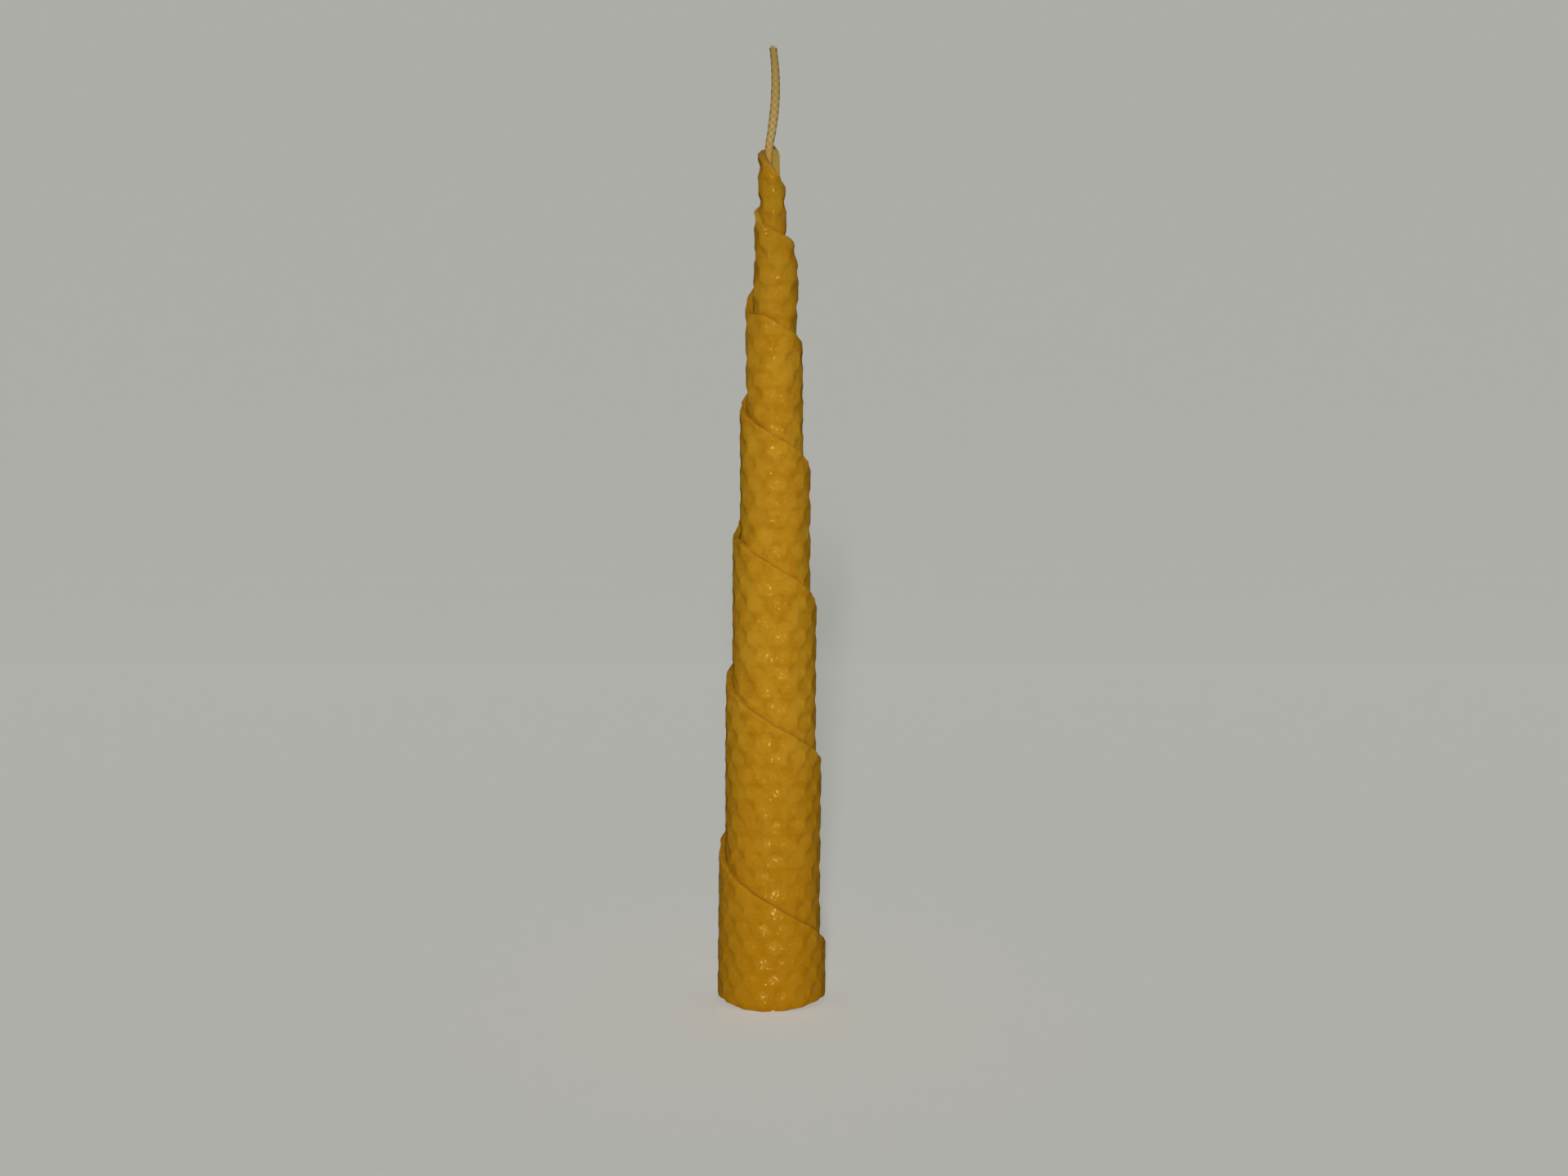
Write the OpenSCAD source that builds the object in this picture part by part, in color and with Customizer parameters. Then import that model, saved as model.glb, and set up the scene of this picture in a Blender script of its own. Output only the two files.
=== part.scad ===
// Rolled beeswax taper candle: one embossed wax sheet with a slanting upper edge,
// rolled round a waxed cotton wick. Millimetres, +Z up. The origin is on the wick's
// axis, in the plane that the candle stands on, and -Y is the front.

/* [Wax sheet] */
// Height of the sheet along the wick
sheet_height = 236; // [150:1:300]
// Length of the sheet, from the wick to its narrow outer end
sheet_length = 394; // [200:1:450]
// Height that the slanting cut leaves at the narrow outer end
end_height = 4; // [2:0.5:60]
// Thickness of the sheet over its cell walls
sheet_thick = 1.2; // [0.9:0.05:1.8]

/* [Honeycomb] */
// Width of one cell between two facing walls
cell_width = 5.4; // [4.6:0.1:6.5]
// Depth of a cell's middle below its walls
cell_depth = 0.5; // [0.2:0.05:0.6]

/* [Roll] */
// Direction of the sheet's first edge, counted from +X, seen from above
start_angle = 30; // [0:5:355]
// Gap between one turn and the next
turn_gap = 0.57; // [0.4:0.01:1.2]
// Slack between the wick and the first turn, past the edge that grips the wick
core_slack = 0.8; // [0.4:0.05:1.5]

/* [Wick] */
// Diameter of the wick
wick_d = 2.2; // [1.4:0.1:3]
// Length of wick that stands above the sheet
wick_free = 25; // [8:1:50]
// Sideways bow of the free wick, towards +X
wick_sway = 1.4; // [0:0.1:4]

/* [Hidden] */

WAX_COLOUR = [0.80, 0.53, 0.09];
WICK_COLOUR = [0.82, 0.70, 0.45];

// The wick is a prism of this many sides, with a flat towards the sheet's first edge
WICK_SIDES = 12;
// Rings along the free wick, and the share of a half wave that it bows through
WICK_RINGS = 9;
WICK_WAVE = 150 / 180;
wick_flat_r = wick_d / 2 * cos(180 / WICK_SIDES);

// Columns of vertices stand half a cell apart along the sheet, and the vertices of a
// column one cell side apart, so that each falls on a cell's corner or on its middle.
half_cell = cell_width / 2;
cell_side = cell_width / sqrt(3);
row_height = cell_side * 3 / 2;

// The roll is a spiral that gains one pitch a turn, measured at the sheet's mid-thickness
roll_pitch = sheet_thick + turn_gap;
gain = roll_pitch / (2 * PI);
first_r = wick_flat_r + core_slack + sheet_thick / 2;
cut_slope = (sheet_height - end_height) / sheet_length;

// Columns a quarter of a cell apart keep the small inner turns round: they run out to
// the radius where a flat half a cell wide takes a quarter of the gap between turns.
fine_r = half_cell * half_cell / (2 * turn_gap);
fine_length = min(sheet_length, (fine_r * fine_r - first_r * first_r) / (2 * gain));

// Angle turned at a length along the sheet, in radians, and the length at an angle
function turned(u) = (sqrt(first_r * first_r + 2 * gain * u) - first_r) / gain;
function unrolled(t) = first_r * t + gain * t * t / 2;

// The first half cell is bent in, so that the sheet's first edge meets the wick
function mid_radius(u) =
    first_r + gain * turned(u) - core_slack * max(0, 1 - u / half_cell);

// Height of the slanting cut, and of the next turn's cut, which covers what is below it
function cut_height(u) = sheet_height - cut_slope * u;
function covered_height(u) =
    let (next = unrolled(turned(u) + 2 * PI))
    next < sheet_length ? cut_height(next) : 0;

// Distance from the nearest line of a grid with the given pitch through 0
function off_grid(x, pitch) = abs(x - pitch * round(x / pitch));

// Distance from a cell's middle towards its walls, for a cell with a corner on top
function towards_wall(x, z) = max(x, x / 2 + z * sqrt(3) / 2);

// Depth of the embossing at a place on the sheet: alternate rows of cells are half a
// cell apart, and the two cut ends are pressed flat.
function dent(u, z) =
    let (
        even = towards_wall(off_grid(u, cell_width), off_grid(z, 2 * row_height)),
        odd = towards_wall(off_grid(u - half_cell, cell_width),
                           off_grid(z - row_height, 2 * row_height)),
        flat_end = min(1, u / half_cell, (sheet_length - u) / half_cell)
    )
    cell_depth * flat_end * (1 - min(even, odd) / half_cell);

// A point of the rolled sheet, at a distance outwards from its mid-thickness
function rolled(u, z, out) =
    let (r = mid_radius(u) + out, a = start_angle + turned(u) * 180 / PI)
    [r * cos(a), r * sin(a), z];

// Lengths at which the columns stand, with the cut ends first and last
function column_lengths() = [
    0,
    for (i = [1 : floor(2 * sheet_length / half_cell - 1 / 2)])
        let (u = i * half_cell / 2)
        if (i % 2 == 0 || u < fine_length) u,
    sheet_length
];

// Heights of one column's outer vertices: the base, the cells that the next turn
// leaves bare, with one more row under its edge, and the cut
function column_heights(u) =
    let (
        steps = round(2 * u / half_cell),
        spacing = steps % 2 == 0 ? cell_side : cell_side / 2,
        first = steps % 4 == 0 ? 0 : spacing / 2,
        low = max(cell_side / 4, covered_height(u) - row_height),
        high = cut_height(u) - cell_side / 4
    )
    [
        0,
        for (j = [ceil((low - first) / spacing) : 1 : floor((high - first) / spacing)])
            first + j * spacing,
        cut_height(u)
    ];

// Triangles between two columns, from the base up, always to the lower next vertex.
// a and b are the heights in the columns, and a0 and b0 the numbers of their first vertices.
function a_is_next(a, b, i, j) =
    j == len(b) - 1 || (i < len(a) - 1 && a[i + 1] < b[j + 1]);
function zipped(a, b, a0, b0) = [
    for (
        i = 0, j = 0, on_a = a_is_next(a, b, 0, 0);
        i + j < len(a) + len(b) - 2;
        i = i + (on_a ? 1 : 0), j = j + (on_a ? 0 : 1), on_a = a_is_next(a, b, i, j)
    )
        on_a ? [a0 + i, a0 + i + 1, b0 + j] : [a0 + i, b0 + j + 1, b0 + j]
];

// One continuous sheet: an embossed outer face, a plain inner face, and four cut edges
module wax_sheet() {
    lengths = column_lengths();
    heights = [for (u = lengths) column_heights(u)];
    last = len(lengths) - 1;
    counts = [for (column = heights) len(column)];
    starts = [for (i = 0, n = 0; i <= last + 1; n = n + (i > last ? 0 : counts[i]), i = i + 1) n];
    outer_count = starts[last + 1];

    // Each column's inner vertices, at the base and at the cut, follow all the outer ones
    function outer_base(i) = starts[i];
    function outer_top(i) = starts[i + 1] - 1;
    function inner_base(i) = outer_count + 2 * i;
    function inner_top(i) = outer_count + 2 * i + 1;
    function inner_heights(i) = [0, cut_height(lengths[i])];

    outer_points = [
        for (i = [0 : last], z = heights[i])
            rolled(lengths[i], z, sheet_thick / 2 - dent(lengths[i], z))
    ];
    inner_points = [
        for (i = [0 : last], z = inner_heights(i))
            rolled(lengths[i], z, -sheet_thick / 2)
    ];
    side_faces = [
        for (i = [0 : last - 1])
            each concat(
                zipped(heights[i], heights[i + 1], outer_base(i), outer_base(i + 1)),
                zipped(inner_heights(i + 1), inner_heights(i), inner_base(i + 1), inner_base(i))
            )
    ];
    edge_faces = [
        for (i = [0 : last - 1])
            each [
                [outer_base(i), outer_base(i + 1), inner_base(i + 1)],
                [outer_base(i), inner_base(i + 1), inner_base(i)],
                [outer_top(i), inner_top(i), inner_top(i + 1)],
                [outer_top(i), inner_top(i + 1), outer_top(i + 1)]
            ]
    ];
    end_faces = concat(
        zipped(inner_heights(0), heights[0], inner_base(0), outer_base(0)),
        zipped(heights[last], inner_heights(last), outer_base(last), inner_base(last))
    );
    color(WAX_COLOUR)
        polyhedron(
            concat(outer_points, inner_points),
            concat(side_faces, edge_faces, end_faces)
        );
}

// Centre of the wick at a share of its free length: a slow bow towards +X
function wick_centre(share) =
    [wick_sway * sin(180 * WICK_WAVE * share), 0, sheet_height + wick_free * share];

// The wick runs from the base, up the middle of the roll, and stands clear of its top
module wick() {
    centres = [
        [0, 0, 0],
        for (i = [0 : WICK_RINGS - 1]) wick_centre(i / (WICK_RINGS - 1))
    ];
    last = len(centres) - 1;
    points = [
        for (c = centres, s = [0 : WICK_SIDES - 1])
            let (a = start_angle + 360 / WICK_SIDES * (s + 1 / 2))
            c + wick_d / 2 * [cos(a), sin(a), 0]
    ];
    function at(ring, s) = ring * WICK_SIDES + s % WICK_SIDES;
    side_faces = [
        for (ring = [0 : last - 1], s = [0 : WICK_SIDES - 1])
            each [
                [at(ring, s), at(ring + 1, s), at(ring, s + 1)],
                [at(ring, s + 1), at(ring + 1, s), at(ring + 1, s + 1)]
            ]
    ];
    base_face = [for (s = [0 : WICK_SIDES - 1]) at(0, s)];
    top_face = [for (s = [WICK_SIDES - 1 : -1 : 0]) at(last, s)];
    color(WICK_COLOUR)
        polyhedron(points, concat(side_faces, [base_face, top_face]));
}

wax_sheet();
wick();
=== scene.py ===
"""The looks of a rolled beeswax taper candle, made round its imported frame.

Lengths in this script are millimetres, and MM turns them into Blender's metres. A place on the wax
sheet is given before rolling, by u, the length from its first edge, and z, the height. A place round
the roll is given in turns from the first edge: the left is at .42 of a turn, the front at .67 and the
right at .92. A bump there is a place in turns, a spread in turns and an amount.
"""

import math
from collections import namedtuple

import bpy
import numpy as np
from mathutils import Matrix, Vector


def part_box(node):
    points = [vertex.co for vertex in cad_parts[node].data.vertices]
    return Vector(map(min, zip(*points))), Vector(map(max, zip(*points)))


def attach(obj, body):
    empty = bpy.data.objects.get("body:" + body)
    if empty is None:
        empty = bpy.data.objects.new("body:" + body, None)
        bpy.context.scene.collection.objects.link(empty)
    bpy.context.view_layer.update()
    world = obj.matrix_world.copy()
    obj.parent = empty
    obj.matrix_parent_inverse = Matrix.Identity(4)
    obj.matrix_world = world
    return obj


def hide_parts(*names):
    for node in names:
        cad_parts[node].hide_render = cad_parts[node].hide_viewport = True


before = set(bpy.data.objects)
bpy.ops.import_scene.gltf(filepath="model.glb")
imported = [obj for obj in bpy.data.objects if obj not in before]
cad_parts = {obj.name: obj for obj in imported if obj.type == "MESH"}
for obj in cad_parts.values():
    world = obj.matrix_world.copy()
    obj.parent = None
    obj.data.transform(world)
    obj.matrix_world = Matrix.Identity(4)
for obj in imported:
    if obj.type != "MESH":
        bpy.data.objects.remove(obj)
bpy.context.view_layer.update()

MM = 0.001
FULL_TURN = 2 * math.pi

# Sheet and roll, as in the part's source
SHEET_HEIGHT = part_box("wax_sheet")[1].z / MM
SHEET_LENGTH = 394.0
END_HEIGHT = 4.0
CUT_SLOPE = (SHEET_HEIGHT - END_HEIGHT) / SHEET_LENGTH
CELL = 5.4
CELL_SIDE = CELL / math.sqrt(3)
ROW = 1.5 * CELL_SIDE
PITCH = 1.77
GAIN = PITCH / FULL_TURN
FIRST_R = 2.46
START_ANGLE = math.radians(30)

# The first turn grips the wick, its first edge flares out again, and the roll bows to the right
CORE_GRIP = 0.42
GRIP_TURNS = (1.15, 1.75)
CORE_R = 0.98
CORE_TURNS = (0.75, 1.0)
FIRST_FLARE = 0.35
FIRST_FLARE_LENGTH = 3.5
BOW = 0.8
BOW_SKEW = 1.3

# Unevenness of the hand's work: the turns waver and swell, a turn is squeezed or stands off where
# the next one leaves it bare, and the cut and the base stray
WOBBLE = 0.12
WOBBLE_SEED = 11
WOBBLE_WAVE = 60.0
WOBBLE_FULL_ANGLE = 6.0
SWELL = 0.28
SWELL_STARTS = (3.0, 4.4)
SWELL_ENDS = (6.5, 6.9)
UNEVEN_TURNS = (
    (0.92, 0.12, -0.25), (1.45, 0.20, -0.72), (1.95, 0.16, 0.85), (5.93, 0.12, -0.22),
)
BARE_HEIGHTS = (1.0, 15.0)
UNEVEN_CUT = (
    (0.48, 0.22, 2.4), (0.70, 0.08, 1.1), (1.42, 0.12, 1.6), (1.88, 0.22, 2.2), (1.93, 0.05, -2.0),
    (2.46, 0.11, -3.1), (2.92, 0.10, 0.6), (3.40, 0.10, -1.9), (3.65, 0.20, -1.1), (3.92, 0.10, -1.6),
    (4.40, 0.09, -2.7), (4.92, 0.08, -1.3), (5.40, 0.05, 0.3), (6.40, 0.05, 0.2),
)
UNEVEN_BASE = (
    (4.88, 0.13, 0.5), (5.88, 0.13, 0.9), (6.40, 0.12, 2.0), (6.52, 0.05, 0.5), (6.88, 0.13, 1.5),
)
CORNER_DROP = 2.2
CORNER_LENGTH = 1.6
EDGE_JITTER = 0.16
LONG_JITTER_SEED, LONG_JITTER_WAVE = 3, 7.0
SHORT_JITTER_SEED, SHORT_JITTER_WAVE = 4, 2.2

# Honeycomb: a cell's floor has three sides that meet above its middle, cells differ in depth and are
# deeper on the first turns, and the walls are worn lower in patches. MIDDLE_R and MIDDLE_RISE give the
# part of a cell that can be glossy.
LATTICE_Z = -0.4
WALL_HEIGHT = 0.15
WALL_WIDTH = 0.58
FLOOR_SWING = 0.27
FLOOR_SIDES = [math.radians(angle) for angle in (30, 150, 270)]
APEX_UP = 1.1
APEX_ROUND = 0.45
CELL_VARIETY = 0.16
CELL_STEPS = (12.9898, 78.233)
WEAR = 0.22
WEAR_SEED = 5
WEAR_WAVES = (47.0, 31.0)
TOP_RELIEF = 1.35
TOP_RELIEF_TURNS = (1.3, 2.6)
MIDDLE_R = 1.15
MIDDLE_RISE = 0.4

# Section of the sheet, outwards from the middle of the roll's pitch
WALL_TOP = 0.60
INNER_FACE = -0.92
INNER_SWING = 0.15

# Cut edge: its outer corner is bevelled, most on the first turn, its lip is pressed onto the turn below
# and filled out behind, and its inner corner rises in places, so that the rim slopes down outwards.
# A squeezed stretch has a depth below the cut before its amount.
EDGE_BEVEL = 0.22
FIRST_BEVEL = 0.75
FIRST_BEVEL_TURNS = (1.45, 1.60)
EDGE_ZONE = 2.0
EDGE_PRESS = 0.14
SQUEEZED = ((1.68, 0.15, 6.0, 1.2), (1.95, 0.07, 5.0, 1.5))
LIP_STARTS = (1.5, 2.2)
FIRST_FILL = 0.38
LIP_FILL = 0.22
PRESSED_LIPS = ((2.44, 0.12, 0.5), (3.42, 0.08, 0.1), (4.40, 0.08, 0.25), (5.42, 0.06, 0.15))
RIM_RISES = ((4.55, 0.20, 0.35), (5.55, 0.20, 0.25), (6.55, 0.20, 0.12))

# Painted shade: shares of brown painted in the crevice above the next turn's cut, on the rim, more on the
# left side, and on the inner face, and shares of paler wax along the first turns' cut. The first turn's
# inner face is pale, and gives way to the painted shade. The cut edge's paler tone, partly a painted
# highlight, reaches to EDGE_DEPTH, and faces that show no cells count as halfway to a wall.
CREVICE_SHADE_REACH = 1.7
OUTER_SHADE = 0.45
UNEVEN_SHADE = (
    (2.88, 0.08, 0.50), (3.58, 0.14, -0.40), (4.56, 0.12, -0.25), (4.85, 0.08, 0.40), (5.56, 0.14, -0.20),
)
RIM_SHADE, LEFT_RIM_SHADE = 0.25, 0.5
INNER_SHADE = 0.70
INNER_SHADE_TURNS = (1.0, 1.4)
PALE_DEPTH = 2.2
PALE_TURNS = ((0.79, 0.20, 0.65), (1.40, 0.10, 0.65))
EDGE_DEPTH = 1.2
UNEMBOSSED_WALL = 0.5

# Grid of the sheet: columns along it and rows up it, some rows under the next turn, and the inner
# face's rows below the cut. A row keeps clear of the bevel above it by a share of the grid.
COLUMN = CELL / 14
GRID_ROW = CELL_SIDE / 7
ROW_CLEAR = 0.4
TUCKED_UNDER = 3.0
INNER_DEPTHS = (9.5, 6.5, 4.2, 2.6, 1.4, 0.6, 0.12)
INNER_LEAST = 0.4
SHEET_SHARP = math.radians(50)

# Wick: as thick and as tall as in the part's source. It leans to the left where the roll holds it, and
# its free end bows to the right. Heights are counted from the sheet's top, also that of the bump that
# widens it.
WICK_R = 1.1
WICK_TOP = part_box("wick")[1].z / MM
WICK_FREE = WICK_TOP - SHEET_HEIGHT
WICK_SWAY = 1.5
WICK_WAVE = math.radians(146)
WICK_LEAN = 0.6
LEAN_HEIGHTS = (-25.0, -8.0, 3.0)
WAXED_HEIGHTS = (-6.0, 2.0)
WIDENED = ((8.0, 10.0, 0.17),)
TIP_NARROWING, NARROWING_LENGTH = 0.08, 7.0
TIP_FLARE, FLARE_LENGTH = 0.06, 2.5

# Braid: strands wind both ways, over and under each other, and the hidden stretch is plain
WICK_SIDES = 40
HIDDEN_TO = SHEET_HEIGHT - 16.0
HIDDEN_RINGS = 12
RING_STEP = 0.14
BRAID_STARTS = 2.0
HIDDEN_CORE, BRAID_CORE = 0.95, 0.92
STRANDS = 4
STRAND_TWIST = 0.85
STRAND_HEIGHT = 0.045
STRAND_TONE = 0.7
OVER_UNDER = 0.7
FUZZ = 0.02
FUZZ_SEED = 21
FUZZ_AROUND, FUZZ_WAVE = 1.5, 3.1
WICK_SHARP = math.radians(60)

# Fibres that stick out of the wick's cut end, with the least and the most of each size
FIBRES = 26
FIBRE_SEED = 8
FIBRE_RINGS = 4
FIBRE_SIDES = 5
FIBRE_PLACES = (0.1, 0.95)
FIBRE_LENGTHS = (0.7, 1.5)
FIBRE_RADII = (0.05, 0.10)
FIBRE_LEANS = (0.0, 0.35)
FIBRE_SUNK = 0.5
FIBRE_TAPER = 0.6
FIBRE_TONE = 0.8

# Wax colours: two tones each for its body at the foot and higher up, the foot's darker in part as painted
# shade, then for the colours mixed over them.
# A stretch is given in shares of the sheet's height, with how much of its colour there is at its top.
FOOT_TONES = (0.375, 0.166, 0.003), (0.42, 0.195, 0.006)
UPPER_TONES = (0.46, 0.231, 0.011), (0.51, 0.269, 0.015)
FOOT_STRETCH = (0.0, 0.4)
# Painted shade: the wax darkens towards the top, for light that falls off there
TOP_SHADE_COLOUR = (0.355, 0.186, 0.009)
TOP_SHADE_STRETCH, TOP_SHADE_MOST = (0.72, 0.92), 0.8
TIP_COLOUR = (0.25, 0.130, 0.012)
TIP_STRETCH, TIP_MOST = (0.965, 0.99), 0.7
# Mottle, a little darker on the cells' walls and paler in their middles, the latter part being painted shade
# and light
MOTTLE_AND_SHADE_COLOUR = (0.37, 0.150, 0.002)
MOTTLE_AND_SHADE_RANGE, MOTTLE_AND_SHADE_MOST = (0.42, 0.66), 0.6
WALL_PAINTED_SHADE = 0.05
SPECKLE_RANGE, SPECKLE = (0.3, 0.7), (0.95, 1.05)
# Paler along the cut edge, partly the cut wax's own tone and partly a painted highlight on the rim
EDGE_COLOUR = (0.50, 0.27, 0.02)
EDGE_SHARES = (0.16, 0.04)
TIP_EDGE_COLOUR = (0.15, 0.085, 0.015)
PALE_COLOUR = (0.38, 0.265, 0.055)
# Painted shade for the crevices, the rims and the inner faces
PAINTED_SHADE_COLOUR = (0.23, 0.096, 0.004)

# Noises of the wax and the cotton: waves in a metre, levels of detail, and roughness where it is set
BROAD_NOISE = (70.0, 3.0)
PATCH_NOISE = (230.0, 4.0, 0.6)
SMALL_NOISE = (420.0, 4.0)
SPECK_NOISE = (1200.0, 1.0)
FINE_NOISE = (2000.0, 2.0)
COTTON_NOISE = (1800.0, 4.0)

# Wax finish: satin, with a gloss in the middle of the lower cells and in scattered points. A bump has
# a strength and a depth in millimetres.
WAX_ROUGHNESS = (0.50, 0.65)
WAX_BUMP, GRAIN_BUMP, SPARKLE_BUMP = (0.5, 0.2), (0.4, 0.08), (0.8, 0.1)
POINT_RANGE, POINT_GLOSS = (0.63, 0.73), (0.0, 0.5)
SPECK_RANGE, SPECK_GLOSS = (0.46, 0.70), (0.07, 0.7)
GLOSSY_STRETCH, GLOSSY_SHARES = (0.1, 0.3), (1.0, 0.1)
GLOSS_ROUGHNESS = 0.40
WAX_IOR = 1.44
SCATTER = 0.35
SCATTER_DEPTH = 1.2
SCATTER_COLOUR = (1.0, 0.65, 0.25)

# Cotton: from its foot to its tip, in the braid's grooves as painted shade, on its loose fibres, and where
# wax soaks it
COTTON_FOOT, COTTON_TIP = (0.49, 0.35, 0.125), (0.30, 0.200, 0.055)
COTTON_GROOVE_SHADE = (0.28, 0.18, 0.045)
COTTON_FLUFF, FLUFF_SHARE = (0.44, 0.31, 0.11), 0.25
COTTON_WAXED = (0.42, 0.225, 0.045)
COTTON_BUMP = (0.5, 0.1)
COTTON_ROUGHNESS = 0.7
COTTON_SPECULAR = 0.03

# Camera, from the photograph's perspective
IMAGE_WIDTH = 1920
FOCAL_PIXELS = 3000
SENSOR = 36.0
NEAR_CLIP = 10.0
CAMERA_PLACE = (3.75, -670.0, 182.0)
CAMERA_PITCH = math.radians(5.7)

# Light: a key from over the camera, a weaker one from behind, a warm one by the camera that only
# makes glints, and an even fill. The back lamp is narrow, so that its light on the sweep ends where
# the stage's tones take it to end.
KEY_STRENGTH = 2.88
KEY_WIDTH = math.radians(5)
KEY_ELEVATION = math.radians(11)
KEY_ASIDE = math.radians(-0.5)
BACK_STRENGTH = 2.2
BACK_WIDTH = math.radians(1)
BACK_ELEVATION = math.radians(20)
BACK_ASIDE = math.pi
GLINT_STRENGTH = 9.0
GLINT_WIDTH = math.radians(2)
GLINT_ELEVATION = math.radians(5)
GLINT_ASIDE = math.radians(-1.3)
GLINT_COLOUR = (1.0, 0.70, 0.20)
FILL_STRENGTH = 0.06
FILL_COLOUR = (1.0, 1.0, 0.96)

# Stage: a floor that sweeps up into a backdrop. It shows one brightness, and bounces less of it.
STAGE_BRIGHTNESS = 0.41
STAGE_BOUNCE = 0.3
STAGE_COLOUR = (1.0, 1.0, 0.94)
STAGE_ROUGHNESS = 0.9
STAGE_HALF_WIDTH = 4000.0
STAGE_FRONT = -3000.0
STAGE_TOP = 4000.0
SWEEP_AT = 700.0
SWEEP_R = 700.0
SWEEP_STEPS = 32
STAGE_SHARP = math.radians(60)

# Random waves: their number, the span of their frequencies, and what brings their sum to about 1
RIPPLE_WAVES = 6
RIPPLE_SPAN = (0.5, 1.3)
RIPPLE_PEAK = 1.6

# One column of the sheet's vertices: the chains up its outer and inner faces are (height, vertex)
# pairs, and rows gives the outer vertex on each row of the grid
Column = namedtuple("Column", "outer rows rim inner")


def smooth_step(x, low, high):
    """0 below low, 1 above high, and an even change between them."""
    share = np.clip((x - low) / (high - low), 0, 1)
    return share * share * (3 - 2 * share)


def fading(distance, reach):
    """1 at no distance, falling evenly to 0 at the reach."""
    return np.clip(1 - distance / reach, 0, 1)


def uneven(places, bumps):
    """Sum of soft bumps, each with its place, spread and amount."""
    return sum(amount * np.exp(-(((places - at) / spread) ** 2)) for at, spread, amount in bumps)


def ripple(seed, *coordinates):
    """A smooth, repeatable wavering from -1 to 1 over coordinates given in wavelengths."""
    draw = np.random.default_rng(seed)
    total = 0.0
    for _ in range(RIPPLE_WAVES):
        phase = draw.uniform(0, FULL_TURN)
        for c in coordinates:
            phase = phase + FULL_TURN * c * draw.uniform(*RIPPLE_SPAN) * draw.choice((-1, 1))
        total = total + np.sin(phase)
    return total / math.sqrt(RIPPLE_WAVES) / RIPPLE_PEAK


def turned(u):
    """Angle turned by the roll at a length along the sheet."""
    return (np.sqrt(FIRST_R**2 + 2 * GAIN * u) - FIRST_R) / GAIN


def turns_at(u):
    """Turns from the first edge at a length along the sheet."""
    return turned(u) / FULL_TURN


def unrolled(angle):
    """Length along the sheet at an angle turned."""
    return FIRST_R * angle + GAIN * angle**2 / 2


def cut_line(u):
    """Height of the slanting cut as the hand made it, with its first corner rounded off."""
    corner = CORNER_DROP * fading(u, CORNER_LENGTH) ** 2
    return SHEET_HEIGHT - CUT_SLOPE * u + uneven(turns_at(u), UNEVEN_CUT) - corner


def covered_height(u):
    """Height up to which the next turn covers this one."""
    after = unrolled(turned(u) + FULL_TURN)
    return np.where(after < SHEET_LENGTH, cut_line(after), 0.0)


def bevel_at(u):
    """Size of the bevel on the cut's outer corner."""
    return EDGE_BEVEL + FIRST_BEVEL * (1 - smooth_step(turns_at(u), *FIRST_BEVEL_TURNS))


def bow(z):
    """Sideways place of the candle's middle at a height."""
    share = np.clip(z / SHEET_HEIGHT, 0, 1)
    return BOW * np.sin(math.pi * share**BOW_SKEW)


def wick_lean(z):
    """How far the wick leans to the left where the roll's top holds it."""
    start, full, end = (SHEET_HEIGHT + height for height in LEAN_HEIGHTS)
    return WICK_LEAN * smooth_step(z, start, full) * (1 - smooth_step(z, full, end))


def wick_line(z):
    """Sideways place of the wick's centre at a height."""
    share = np.clip((z - SHEET_HEIGHT) / WICK_FREE, 0, 1)
    return bow(z) + WICK_SWAY * np.sin(WICK_WAVE * share) - wick_lean(z)


def nearest_cell(u, z):
    """The nearest cell: offsets from its middle, its column and row, and the distance to its wall."""
    found = None
    z = z - LATTICE_Z
    for shift_u, shift_z in ((0.0, 0.0), (CELL / 2, ROW)):
        column = np.round((u - shift_u) / CELL)
        row = np.round((z - shift_z) / (2 * ROW))
        du = u - shift_u - column * CELL
        dz = z - shift_z - row * 2 * ROW
        reach = np.maximum(np.abs(du), np.abs(du) / 2 + np.abs(dz) * math.sqrt(3) / 2)
        here = (du, dz, column + shift_u / CELL, 2 * row + shift_z / ROW, CELL / 2 - reach)
        if found is None:
            found = here
        else:
            nearer = here[-1] > found[-1]
            found = tuple(np.where(nearer, a, b) for a, b in zip(here, found))
    return found


def cell_floor(du, dz):
    """The three-sided hollow of a cell: -1 where its sides meet, rising to every second corner."""
    rises = [du * math.cos(side) + (dz - APEX_UP) * math.sin(side) for side in FLOOR_SIDES]
    rounded = APEX_ROUND * np.log(sum(np.exp(rise / APEX_ROUND) for rise in rises) / len(rises))
    return -1 + 2 / CELL_SIDE * rounded


def embossing(u, z):
    """Relief of the outer and inner faces, and how near a wall and a cell's middle a place is."""
    du, dz, column, row, to_wall = nearest_cell(u, z)
    floor = cell_floor(du, dz)
    wall = np.exp(-((to_wall / WALL_WIDTH) ** 2))
    middle = np.exp(-(du**2 + (dz - MIDDLE_RISE) ** 2) / MIDDLE_R**2)
    variety = 1 + CELL_VARIETY * np.sin(column * CELL_STEPS[0] + row * CELL_STEPS[1])
    worn = 1 - WEAR * np.clip(ripple(WEAR_SEED, u / WEAR_WAVES[0], z / WEAR_WAVES[1]), 0, 1)
    near_top = 1 - smooth_step(turns_at(u), *TOP_RELIEF_TURNS)
    relief = 1 + (TOP_RELIEF - 1) * near_top
    outer = relief * (FLOOR_SWING * floor * variety - WALL_HEIGHT * worn) * (1 - wall)
    return outer, INNER_SWING * floor, wall, middle


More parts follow.
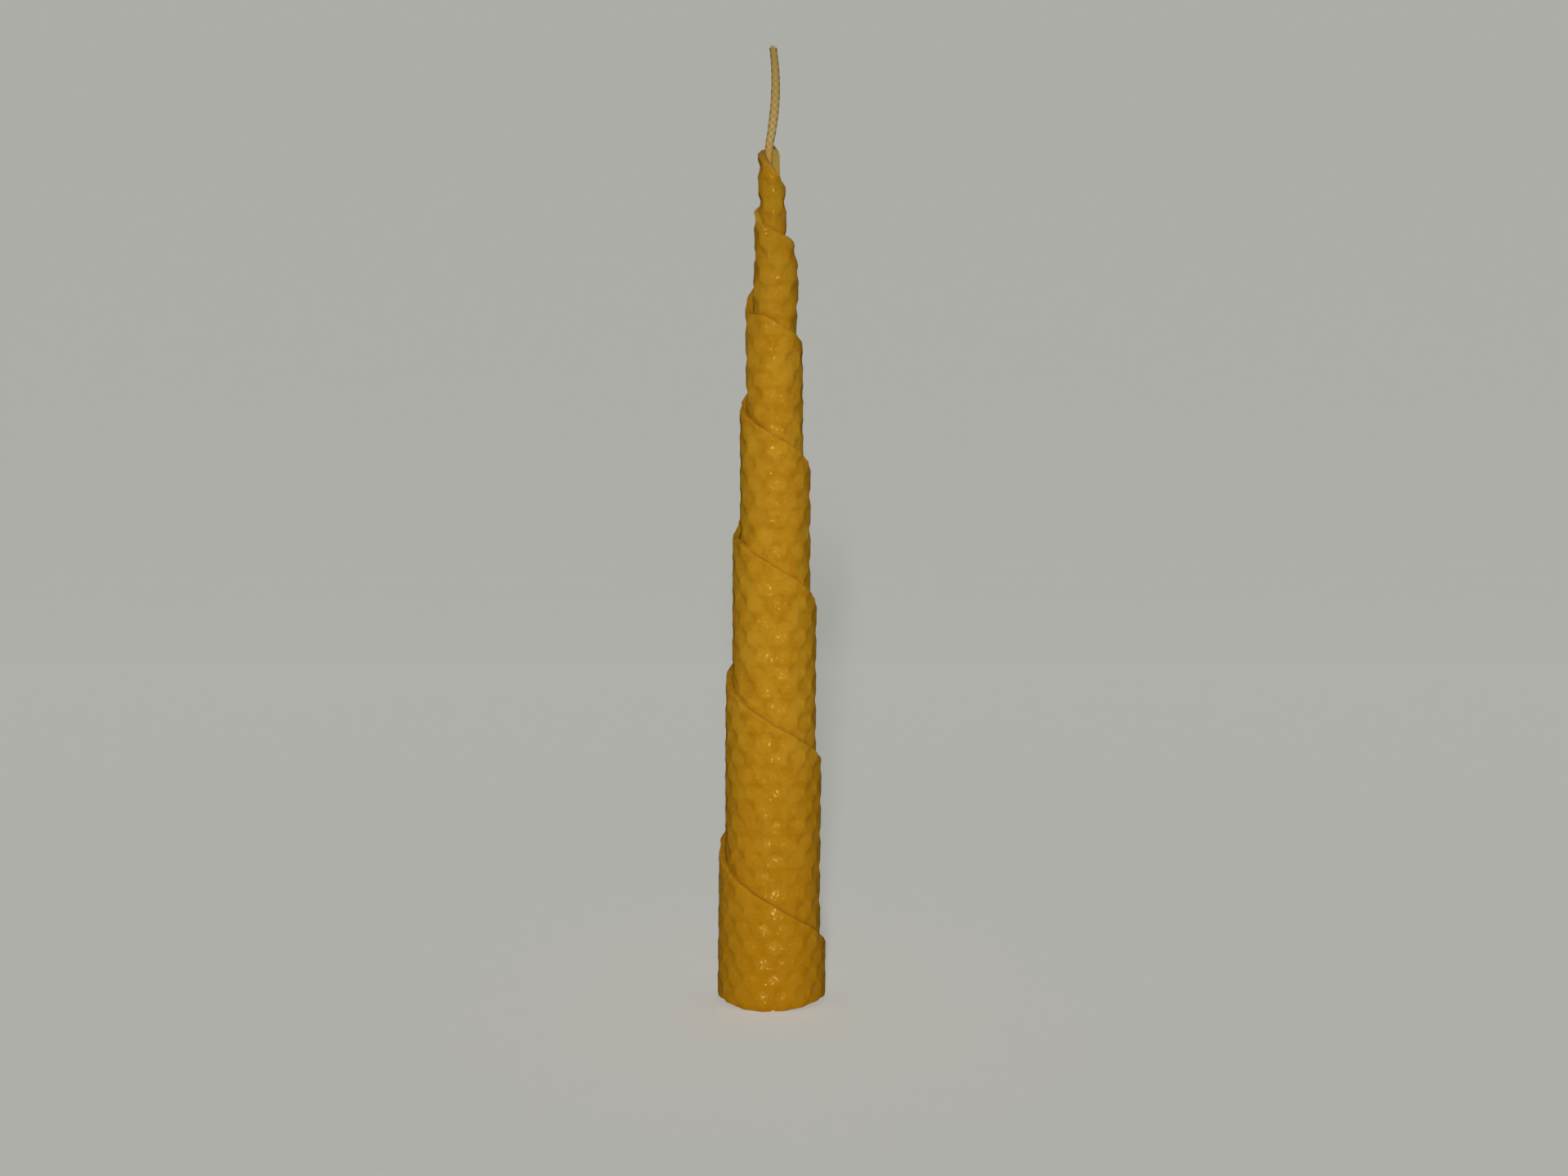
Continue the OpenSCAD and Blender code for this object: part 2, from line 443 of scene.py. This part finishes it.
def roll_radius(u, z):
    """Radius of the roll at the middle of its pitch, as the hand made it."""
    angle = turned(u)
    turns = turns_at(u)
    around = START_ANGLE + angle
    wave = ripple(WOBBLE_SEED, np.cos(around), np.sin(around), z / WOBBLE_WAVE)
    wobble = WOBBLE * wave * np.clip(angle / WOBBLE_FULL_ANGLE, 0, 1)
    grip = CORE_GRIP * (1 - smooth_step(turns, *GRIP_TURNS))
    flare = FIRST_FLARE * fading(u, FIRST_FLARE_LENGTH)
    swell = SWELL * smooth_step(turns, *SWELL_STARTS) * (1 - smooth_step(turns, *SWELL_ENDS))
    bare = smooth_step(z - covered_height(u), *BARE_HEIGHTS)
    return FIRST_R + GAIN * angle - grip + flare + wobble + swell + bare * uneven(turns, UNEVEN_TURNS)


def rolled(u, z, out):
    """Points of the rolled sheet, at a distance outwards from the middle of its pitch."""
    angle = START_ANGLE + turned(u)
    r = roll_radius(u, z) + out
    return np.stack([bow(z) + r * np.cos(angle), r * np.sin(angle), z], axis=-1)


def make_object(name, points, faces, attributes, material, sharp_angle):
    """A mesh object from points in millimetres, with point attributes and smooth shading."""
    mesh = bpy.data.meshes.new(name)
    mesh.from_pydata((np.asarray(points) * MM).tolist(), [], faces)
    mesh.validate()
    for key, values in attributes.items():
        attribute = mesh.attributes.new(key, "FLOAT", "POINT")
        attribute.data.foreach_set("value", np.asarray(values, np.float32))
    mesh.polygons.foreach_set("use_smooth", [True] * len(mesh.polygons))
    mesh.set_sharp_from_angle(angle=sharp_angle)
    mesh.materials.append(material)
    made = bpy.data.objects.new(name, mesh)
    bpy.context.scene.collection.objects.link(made)
    return made


class SheetPoints:
    """Vertices of the sheet before rolling, each with its length, height and kind."""

    def __init__(self):
        self.us, self.zs, self.kinds = [], [], []

    def add(self, u, z, kind):
        """Number of a new vertex. Its kind is outer, rim_out, rim_in or inner."""
        self.us.append(u)
        self.zs.append(z)
        self.kinds.append(kind)
        return len(self.us) - 1

    def arrays(self):
        """Lengths, heights and kinds of all vertices."""
        return np.array(self.us), np.array(self.zs), np.array(self.kinds)


def sheet_columns(points):
    """Columns of vertices along the sheet: a fine grid outside where it shows, the rim, and the inside."""
    lengths = np.append(np.arange(0, SHEET_LENGTH - COLUMN / 2, COLUMN), SHEET_LENGTH)
    turns = turns_at(lengths)
    long_jitter = ripple(LONG_JITTER_SEED, lengths / LONG_JITTER_WAVE)
    short_jitter = ripple(SHORT_JITTER_SEED, lengths / SHORT_JITTER_WAVE)
    cuts = cut_line(lengths) + EDGE_JITTER * (long_jitter + short_jitter / 2)
    rises = uneven(turns, RIM_RISES)
    tops = cuts - bevel_at(lengths)
    bases = uneven(turns, UNEVEN_BASE)
    lows = np.maximum(bases + GRID_ROW / 2, covered_height(lengths) - TUCKED_UNDER)
    first_rows = np.ceil(lows / GRID_ROW).astype(int)
    last_rows = np.floor(tops / GRID_ROW - ROW_CLEAR).astype(int)

    columns = []
    for u, base, top, cut, rise, first, last in zip(
        lengths, bases, tops, cuts, rises, first_rows, last_rows
    ):
        rows = {row: points.add(u, row * GRID_ROW, "outer") for row in range(first, last + 1)}
        outer = [(base, points.add(u, base, "outer"))]
        outer += [(row * GRID_ROW, vertex) for row, vertex in rows.items()]
        outer.append((top, points.add(u, top, "outer")))
        rim = (points.add(u, cut, "rim_out"), points.add(u, cut + rise, "rim_in"))
        heights = [cut - depth for depth in INNER_DEPTHS if cut - depth > base + INNER_LEAST]
        inner = [(height, points.add(u, height, "inner")) for height in [base] + heights]
        columns.append(Column(outer, rows, rim, inner))
    return columns


def zipped(left, right):
    """Triangles between two upright chains of (height, vertex), always to the lower next vertex."""
    faces = []
    i = j = 0
    while i + j < len(left) + len(right) - 2:
        on_left = j == len(right) - 1 or (i < len(left) - 1 and left[i + 1][0] < right[j + 1][0])
        if on_left:
            faces.append((left[i][1], right[j][1], left[i + 1][1]))
            i += 1
        else:
            faces.append((left[i][1], right[j][1], right[j + 1][1]))
            j += 1
    return faces


def faces_between(left, right):
    """Faces between two columns: up the outer face, up the inner one, across the cut and the base."""
    shared = sorted(set(left.rows) & set(right.rows))
    low, high = shared[0] * GRID_ROW, shared[-1] * GRID_ROW
    left_foot, right_foot = ([p for p in side.outer if p[0] <= low] for side in (left, right))
    left_head, right_head = ([p for p in side.outer if p[0] >= high] for side in (left, right))
    faces = zipped(left_foot, right_foot)
    for row in shared[:-1]:
        faces.append((left.rows[row], right.rows[row], right.rows[row + 1], left.rows[row + 1]))
    faces += zipped(left_head, right_head)
    faces += zipped(right.inner, left.inner)
    a, b = ((side.outer[-1][1], *side.rim, side.inner[-1][1]) for side in (left, right))
    for k in range(len(a) - 1):
        faces.append((a[k], b[k], b[k + 1], a[k + 1]))
    faces.append((left.outer[0][1], left.inner[0][1], right.inner[0][1], right.outer[0][1]))
    return faces


def end_face(column):
    """Outline of the sheet's end, up the outer face, over the rim and down the inner face."""
    up = [vertex for _, vertex in column.outer]
    down = [vertex for _, vertex in reversed(column.inner)]
    return (*up, *column.rim, *down)


def by_kind(kind, outer, rim_out, rim_in, inner):
    """Values picked by each vertex's kind."""
    return np.select([kind == "outer", kind == "rim_out", kind == "rim_in"], [outer, rim_out, rim_in], inner)


def sheet_section(u, z, kind, outer, inner):
    """Distance of each vertex outwards from the middle of the roll's pitch."""
    turns = turns_at(u)
    below_cut = cut_line(u) - z
    near_cut = fading(below_cut, EDGE_ZONE) ** 2
    free = smooth_step(turns, *LIP_STARTS)
    squeezed = sum(
        uneven(turns, [(at, spread, amount)]) * fading(below_cut, depth) ** 2
        for at, spread, depth, amount in SQUEEZED
    )
    flat_end = np.clip(np.minimum(u, SHEET_LENGTH - u) / (CELL / 2), 0, 1)
    out_face = WALL_TOP + outer * flat_end - np.maximum(EDGE_PRESS * near_cut * free, squeezed)

    lip_fill = LIP_FILL + uneven(turns, PRESSED_LIPS)
    in_face = INNER_FACE + inner - near_cut * (lip_fill * free + FIRST_FILL * (1 - free))
    on_wick = 1 - smooth_step(turns, *CORE_TURNS)
    core_r = CORE_R - wick_lean(z) * np.cos(START_ANGLE + turned(u))
    in_face = in_face + on_wick * np.minimum(core_r - roll_radius(u, z) - in_face, 0)
    return by_kind(kind, out_face, out_face - bevel_at(u), in_face + EDGE_BEVEL, in_face)


def sheet_shades(u, z, kind, wall, middle):
    """Point attributes that the wax's material reads."""
    turns = turns_at(u)
    below_cut = cut_line(u) - z
    shaded_inside = smooth_step(turns, *INNER_SHADE_TURNS)
    # Painted shade: darker above the next turn's cut, on the rims, more on the left side, and on inner faces
    # past the first turn
    at_left = np.clip(-np.cos(START_ANGLE + turned(u)), 0, 1) ** 2
    by_next_cut = 1 - smooth_step(z - covered_height(u), 0, CREVICE_SHADE_REACH)
    outer_shade = (OUTER_SHADE + uneven(turns, UNEVEN_SHADE)) * by_next_cut
    rim_out_shade = LEFT_RIM_SHADE * at_left * shaded_inside
    rim_in_shade = np.maximum(RIM_SHADE * shaded_inside, rim_out_shade)
    inner_shade = INNER_SHADE * shaded_inside
    pale = uneven(turns, PALE_TURNS) * fading(below_cut, PALE_DEPTH)
    return {
        "painted_shade": by_kind(kind, outer_shade, rim_out_shade, rim_in_shade, inner_shade),
        "wall": np.where(kind == "outer", wall, UNEMBOSSED_WALL),
        "middle": np.where(kind == "outer", middle, 0.0),
        "edge": fading(below_cut, EDGE_DEPTH),
        "pale": np.where((kind == "inner") | (u == 0), 1 - shaded_inside, pale),
        "height": z / SHEET_HEIGHT,
    }


def make_sheet(material):
    """The rolled sheet, as one closed mesh."""
    points = SheetPoints()
    columns = sheet_columns(points)
    faces = []
    for left, right in zip(columns, columns[1:]):
        faces += faces_between(left, right)
    faces += [end_face(columns[0]), end_face(columns[-1])[::-1]]
    u, z, kind = points.arrays()
    outer, inner, wall, middle = embossing(u, z)
    places = rolled(u, z, sheet_section(u, z, kind, outer, inner))
    shades = sheet_shades(u, z, kind, wall, middle)
    return make_object("rolled_wax_sheet", places, faces, shades, material, SHEET_SHARP)


def tube_faces(start, rings, sides):
    """Faces of a closed tube, whose rings of vertices follow each other from a first vertex."""
    faces = []
    for ring in range(rings - 1):
        low, high = start + ring * sides, start + (ring + 1) * sides
        for k in range(sides):
            after = (k + 1) % sides
            faces.append((low + k, low + after, high + after, high + k))
    top = start + (rings - 1) * sides
    faces.append(tuple(start + k for k in reversed(range(sides))))
    faces.append(tuple(top + k for k in range(sides)))
    return faces


def braid(heights):
    """Points of the wick's rings, and how far out of the braid's grooves each one lies."""
    around = np.arange(WICK_SIDES) * FULL_TURN / WICK_SIDES
    h, a = np.meshgrid(heights, around, indexing="ij")
    one_way, other_way = a + STRAND_TWIST * h, a - STRAND_TWIST * h
    weave = OVER_UNDER * np.cos(STRANDS / 2 * one_way) * np.cos(STRANDS / 2 * other_way)
    raised = np.maximum(
        (1 + np.cos(STRANDS * one_way)) / 2 + weave, (1 + np.cos(STRANDS * other_way)) / 2 - weave
    )
    braided = np.clip((h - HIDDEN_TO) / BRAID_STARTS, 0, 1)
    core = WICK_R * (HIDDEN_CORE + (BRAID_CORE - HIDDEN_CORE) * braided)
    fuzz = FUZZ * ripple(FUZZ_SEED, a * FUZZ_AROUND, h / FUZZ_WAVE)
    flare = 1 + TIP_FLARE * fading(WICK_TOP - h, FLARE_LENGTH)
    r = flare * (core + braided * (STRAND_HEIGHT * raised + fuzz))
    narrowing = TIP_NARROWING * smooth_step(h, WICK_TOP - NARROWING_LENGTH, WICK_TOP)
    wide = 1 + uneven(h - SHEET_HEIGHT, WIDENED) - narrowing
    points = np.stack([wick_line(h) + wide * r * np.cos(a), r * np.sin(a), h], axis=-1)
    return points.reshape(-1, 3), raised.reshape(-1)


def fibre(draw, tip):
    """Points of one short fibre in the wick's cut end, in rings that taper and lean outwards."""
    place, far = draw.uniform(0, FULL_TURN), draw.uniform(*FIBRE_PLACES)
    outwards = np.array([math.cos(place), math.sin(place), 0.0])
    lean = draw.uniform(*FIBRE_LEANS) * far * outwards
    length = draw.uniform(*FIBRE_LENGTHS)
    radius = draw.uniform(*FIBRE_RADII)
    root = tip + far * outwards - np.array([0.0, 0.0, FIBRE_SUNK])
    around = np.arange(FIBRE_SIDES) * FULL_TURN / FIBRE_SIDES
    ring = np.stack([np.cos(around), np.sin(around), np.zeros(FIBRE_SIDES)], axis=-1)
    points = []
    for share in np.linspace(0, 1, FIBRE_RINGS):
        middle = root + np.array([0.0, 0.0, length * share]) + lean * share**2
        points.append(middle + radius * (1 - FIBRE_TAPER * share) * ring)
    return np.concatenate(points)


def make_wick(material):
    """A braided cotton wick, fine where it shows, with a frayed cut end."""
    hidden = np.linspace(0, HIDDEN_TO, HIDDEN_RINGS, endpoint=False)
    heights = np.concatenate([hidden, np.arange(HIDDEN_TO, WICK_TOP, RING_STEP), [WICK_TOP]])
    points, raised = braid(heights)
    faces = tube_faces(0, len(heights), WICK_SIDES)

    draw = np.random.default_rng(FIBRE_SEED)
    tip = np.array([wick_line(WICK_TOP), 0.0, WICK_TOP])
    for number in range(FIBRES):
        start = len(points) + number * FIBRE_RINGS * FIBRE_SIDES
        faces += tube_faces(start, FIBRE_RINGS, FIBRE_SIDES)
    fibres = np.concatenate([fibre(draw, tip) for _ in range(FIBRES)])

    z = np.repeat(heights, WICK_SIDES)
    along = np.clip((z - SHEET_HEIGHT) / WICK_FREE, 0, 1)
    waxed = 1 - smooth_step(z - SHEET_HEIGHT, *WAXED_HEIGHTS)
    tones = {
        "along": np.append(along, np.full(len(fibres), 1.0)),
        # How far out of the grooves, which sets the painted shade in them
        "raised": np.append(STRAND_TONE * raised, np.full(len(fibres), FIBRE_TONE)),
        "waxed": np.append(waxed, np.full(len(fibres), 0.0)),
    }
    places = np.concatenate([points, fibres])
    return make_object("braided_wick", places, faces, tones, material, WICK_SHARP)


class NodeTree:
    """Adds nodes to a shader tree. An input is a value, a colour, or the socket that is linked to it."""

    def __init__(self, tree):
        self.tree = tree

    def feed(self, socket, value):
        """Gives a socket its value, colour or link."""
        if isinstance(value, bpy.types.NodeSocket):
            self.tree.links.new(value, socket)
        elif socket.type == "RGBA":
            socket.default_value = (*value, 1.0)
        else:
            socket.default_value = value

    def node(self, kind, inputs=None, **settings):
        """A new node, with its settings and then its inputs, by name or by number."""
        made = self.tree.nodes.new(kind)
        for key, value in settings.items():
            setattr(made, key, value)
        for key, value in (inputs or {}).items():
            self.feed(made.inputs[key], value)
        return made

    def place(self):
        """Place on the object, in metres."""
        return self.node("ShaderNodeTexCoord").outputs["Object"]

    def attribute(self, name):
        """A point attribute of the mesh."""
        return self.node("ShaderNodeAttribute", attribute_name=name).outputs["Fac"]

    def noise(self, place, scale, detail, roughness=0.5):
        """Noise of a scale in waves per metre."""
        inputs = {"Vector": place, "Scale": scale, "Detail": detail, "Roughness": roughness}
        return self.node("ShaderNodeTexNoise", inputs).outputs["Fac"]

    def ranged(self, value, start=(0.0, 1.0), end=(0.0, 1.0)):
        """A value brought from one range to another, and held within it."""
        names = ("From Min", "From Max", "To Min", "To Max")
        inputs = {"Value": value, **dict(zip(names, (*start, *end)))}
        return self.node("ShaderNodeMapRange", inputs).outputs[0]

    def math(self, operation, *values):
        """Result of a sum, product or the like."""
        return self.node("ShaderNodeMath", dict(enumerate(values)), operation=operation).outputs[0]

    def mix(self, factor, a, b, blend="MIX"):
        """Colour from a to b."""
        made = self.node("ShaderNodeMix", {0: factor, 6: a, 7: b}, data_type="RGBA", blend_type=blend)
        return made.outputs[2]

    def bump(self, height, strength, distance, normal=None):
        """Normal of a relief, with its distance in millimetres, on top of another one."""
        inputs = {"Height": height, "Strength": strength, "Distance": distance * MM}
        if normal is not None:
            inputs["Normal"] = normal
        return self.node("ShaderNodeBump", inputs).outputs[0]

    def by_ray(self, lighting, seen):
        """One value for the rays that only light the candle, and another for those that show the stage."""
        path = self.node("ShaderNodeLightPath").outputs
        shows = path["Is Camera Ray"]
        for kind in ("Is Glossy Ray", "Is Transmission Ray"):
            shows = self.math("MAXIMUM", shows, path[kind])
        return self.ranged(shows, end=(lighting, seen))


def new_material(name):
    """A node material, its shader's inputs, and what adds nodes to it."""
    material = bpy.data.materials.new(name)
    material.use_nodes = True
    tree = material.node_tree
    return material, tree.nodes["Principled BSDF"].inputs, NodeTree(tree)


def wax_colour(nodes, place, fine):
    """Amber in the cells, paler up the candle, darker still at its tip, with painted shade at the top and in
    crevices, in part at the foot and on the walls, and cut edges paler, partly as a painted highlight.
    """
    height, edge, wall, middle = (nodes.attribute(name) for name in ("height", "edge", "wall", "middle"))
    broad = nodes.noise(place, *BROAD_NOISE)
    patch = nodes.noise(place, *PATCH_NOISE)

    # Painted shade towards the top
    top_shade = nodes.ranged(height, TOP_SHADE_STRETCH, (0.0, TOP_SHADE_MOST))
    tip = nodes.ranged(height, TIP_STRETCH, (0.0, TIP_MOST))
    foot, upper = nodes.mix(broad, *FOOT_TONES), nodes.mix(broad, *UPPER_TONES)
    colour = nodes.mix(nodes.ranged(height, FOOT_STRETCH), foot, upper)
    colour = nodes.mix(top_shade, colour, TOP_SHADE_COLOUR)
    colour = nodes.mix(tip, colour, TIP_COLOUR)

    # Painted shade on the walls and painted light in the cells' middles, mixed into the mottle
    raised = nodes.math("SUBTRACT", wall, middle)
    mottle_and_shade = nodes.math("MULTIPLY_ADD", raised, WALL_PAINTED_SHADE, patch)
    colour = nodes.mix(nodes.ranged(mottle_and_shade, MOTTLE_AND_SHADE_RANGE, (0.0, MOTTLE_AND_SHADE_MOST)), colour, MOTTLE_AND_SHADE_COLOUR)
    colour = nodes.mix(1.0, colour, nodes.ranged(fine, SPECKLE_RANGE, SPECKLE), "MULTIPLY")

    # Paler cut edge, partly a painted highlight, less of it under the top's painted shade
    pale_edge_and_highlight = nodes.ranged(top_shade, end=EDGE_SHARES)
    colour = nodes.mix(nodes.math("MULTIPLY", edge, pale_edge_and_highlight), colour, EDGE_COLOUR)
    colour = nodes.mix(nodes.math("MULTIPLY", edge, tip), colour, TIP_EDGE_COLOUR)
    colour = nodes.mix(nodes.attribute("pale"), colour, PALE_COLOUR)
    # Painted shade in the crevices, on the rims and on the inner faces
    return nodes.mix(nodes.attribute("painted_shade"), colour, PAINTED_SHADE_COLOUR)


def wax_gloss(nodes, specks):
    """Gloss in the middle of the cells, most of it low on the candle, and in scattered points."""
    points = nodes.ranged(specks, POINT_RANGE, POINT_GLOSS)
    in_cells = nodes.ranged(specks, SPECK_RANGE, SPECK_GLOSS)
    low = nodes.ranged(nodes.attribute("height"), GLOSSY_STRETCH, GLOSSY_SHARES)
    share = nodes.math("MULTIPLY", nodes.attribute("middle"), low)
    return nodes.math("MULTIPLY_ADD", in_cells, share, points)


def wax_material():
    """Golden beeswax: softly mottled, grained and translucent, with a few glints."""
    material, shader, nodes = new_material("golden_beeswax")
    place = nodes.place()
    small = nodes.noise(place, *SMALL_NOISE)
    specks = nodes.noise(place, *SPECK_NOISE)
    fine = nodes.noise(place, *FINE_NOISE)
    relief = nodes.bump(small, *WAX_BUMP)
    nodes.feed(shader["Base Color"], wax_colour(nodes, place, fine))
    nodes.feed(shader["Roughness"], nodes.ranged(small, end=WAX_ROUGHNESS))
    nodes.feed(shader["Normal"], nodes.bump(fine, *GRAIN_BUMP, relief))
    nodes.feed(shader["Coat Weight"], wax_gloss(nodes, specks))
    nodes.feed(shader["Coat Normal"], nodes.bump(specks, *SPARKLE_BUMP, relief))
    nodes.feed(shader["Coat Roughness"], GLOSS_ROUGHNESS)
    nodes.feed(shader["IOR"], WAX_IOR)
    nodes.feed(shader["Specular IOR Level"], 0.0)
    nodes.feed(shader["Subsurface Weight"], SCATTER)
    nodes.feed(shader["Subsurface Radius"], SCATTER_COLOUR)
    nodes.feed(shader["Subsurface Scale"], SCATTER_DEPTH * MM)
    return material


def wick_material():
    """Wax-primed cotton: darker in the grooves as painted shade, paler on the strands and near the wax."""
    material, shader, nodes = new_material("primed_cotton")
    fluff = nodes.noise(nodes.place(), *COTTON_NOISE)
    strands = nodes.mix(nodes.attribute("along"), COTTON_FOOT, COTTON_TIP)
    # Painted shade in the braid's grooves, lighter on the raised strands
    colour = nodes.mix(nodes.attribute("raised"), COTTON_GROOVE_SHADE, strands)
    colour = nodes.mix(nodes.math("MULTIPLY", fluff, FLUFF_SHARE), colour, COTTON_FLUFF)
    colour = nodes.mix(nodes.attribute("waxed"), colour, COTTON_WAXED)
    nodes.feed(shader["Base Color"], colour)
    nodes.feed(shader["Normal"], nodes.bump(fluff, *COTTON_BUMP))
    nodes.feed(shader["Roughness"], COTTON_ROUGHNESS)
    nodes.feed(shader["Specular IOR Level"], COTTON_SPECULAR)
    return material


def stage_material():
    """A plain pale grey, with its tone set at each point, that bounces little light at the candle."""
    material, shader, nodes = new_material("pale_stage")
    tone = nodes.math("MULTIPLY", nodes.attribute("tone"), nodes.by_ray(STAGE_BOUNCE, 1.0))
    nodes.feed(shader["Base Color"], nodes.mix(tone, (0.0, 0.0, 0.0), STAGE_COLOUR))
    nodes.feed(shader["Roughness"], STAGE_ROUGHNESS)
    nodes.feed(shader["Specular IOR Level"], 0.0)
    return material


def stage_light(slope):
    """Light that falls on the stage where it slopes by an angle."""
    key = KEY_STRENGTH * math.sin(KEY_ELEVATION + slope)
    back = BACK_STRENGTH * max(0, math.sin(BACK_ELEVATION - slope))
    return (key + back) / math.pi + FILL_STRENGTH


def make_stage(material):
    """A floor that sweeps up into a backdrop, paler where less light falls, so that both look alike."""
    profile = [(STAGE_FRONT, 0.0, 0.0)]
    for step in range(SWEEP_STEPS + 1):
        slope = math.pi / 2 * step / SWEEP_STEPS
        profile.append((SWEEP_AT + SWEEP_R * math.sin(slope), SWEEP_R * (1 - math.cos(slope)), slope))
    profile.append((SWEEP_AT + SWEEP_R, STAGE_TOP, math.pi / 2))
    points, tones = [], []
    for y, z, slope in profile:
        points += [(-STAGE_HALF_WIDTH, y, z), (STAGE_HALF_WIDTH, y, z)]
        tones += [STAGE_BRIGHTNESS / stage_light(slope)] * 2
    faces = [(2 * i, 2 * i + 1, 2 * i + 3, 2 * i + 2) for i in range(len(profile) - 1)]
    return make_object("floor_and_backdrop", points, faces, {"tone": tones}, material, STAGE_SHARP)


def make_camera():
    """The photograph's camera, in front and a little above the middle."""
    data = bpy.data.cameras.new("camera")
    data.sensor_width = SENSOR
    data.lens = SENSOR * FOCAL_PIXELS / IMAGE_WIDTH
    data.clip_start = NEAR_CLIP * MM
    camera = bpy.data.objects.new("camera", data)
    camera.location = [c * MM for c in CAMERA_PLACE]
    camera.rotation_euler = (math.pi / 2 - CAMERA_PITCH, 0, 0)
    bpy.context.scene.collection.objects.link(camera)
    bpy.context.scene.camera = camera


def make_lamp(name, strength, width, elevation, aside):
    """A distant lamp of a strength and width, from a direction counted from the front."""
    data = bpy.data.lights.new(name, "SUN")
    data.energy = strength
    data.angle = width
    lamp = bpy.data.objects.new(name, data)
    lamp.rotation_euler = (math.pi / 2 - elevation, 0, aside)
    bpy.context.scene.collection.objects.link(lamp)
    return lamp


def make_lights():
    """A key from over the camera, a lamp from behind, glints, and an even fill from all round."""
    key = make_lamp("key", KEY_STRENGTH, KEY_WIDTH, KEY_ELEVATION, KEY_ASIDE)
    key.visible_glossy = False
    back = make_lamp("back", BACK_STRENGTH, BACK_WIDTH, BACK_ELEVATION, BACK_ASIDE)
    back.data.use_shadow = False
    back.visible_glossy = False
    glint = make_lamp("glint", GLINT_STRENGTH, GLINT_WIDTH, GLINT_ELEVATION, GLINT_ASIDE)
    glint.data.color = GLINT_COLOUR
    glint.visible_diffuse = False
    world = bpy.data.worlds.new("fill")
    world.use_nodes = True
    nodes = NodeTree(world.node_tree)
    background = world.node_tree.nodes["Background"].inputs
    nodes.feed(background["Color"], FILL_COLOUR)
    nodes.feed(background["Strength"], nodes.by_ray(FILL_STRENGTH, STAGE_BRIGHTNESS))
    bpy.context.scene.world = world


make_camera()
make_lights()
bpy.context.scene.view_settings.view_transform = "Standard"
make_stage(stage_material())

sheet = make_sheet(wax_material())
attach(sheet, "root")
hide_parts("wax_sheet")

wick = make_wick(wick_material())
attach(wick, "root")
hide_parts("wick")
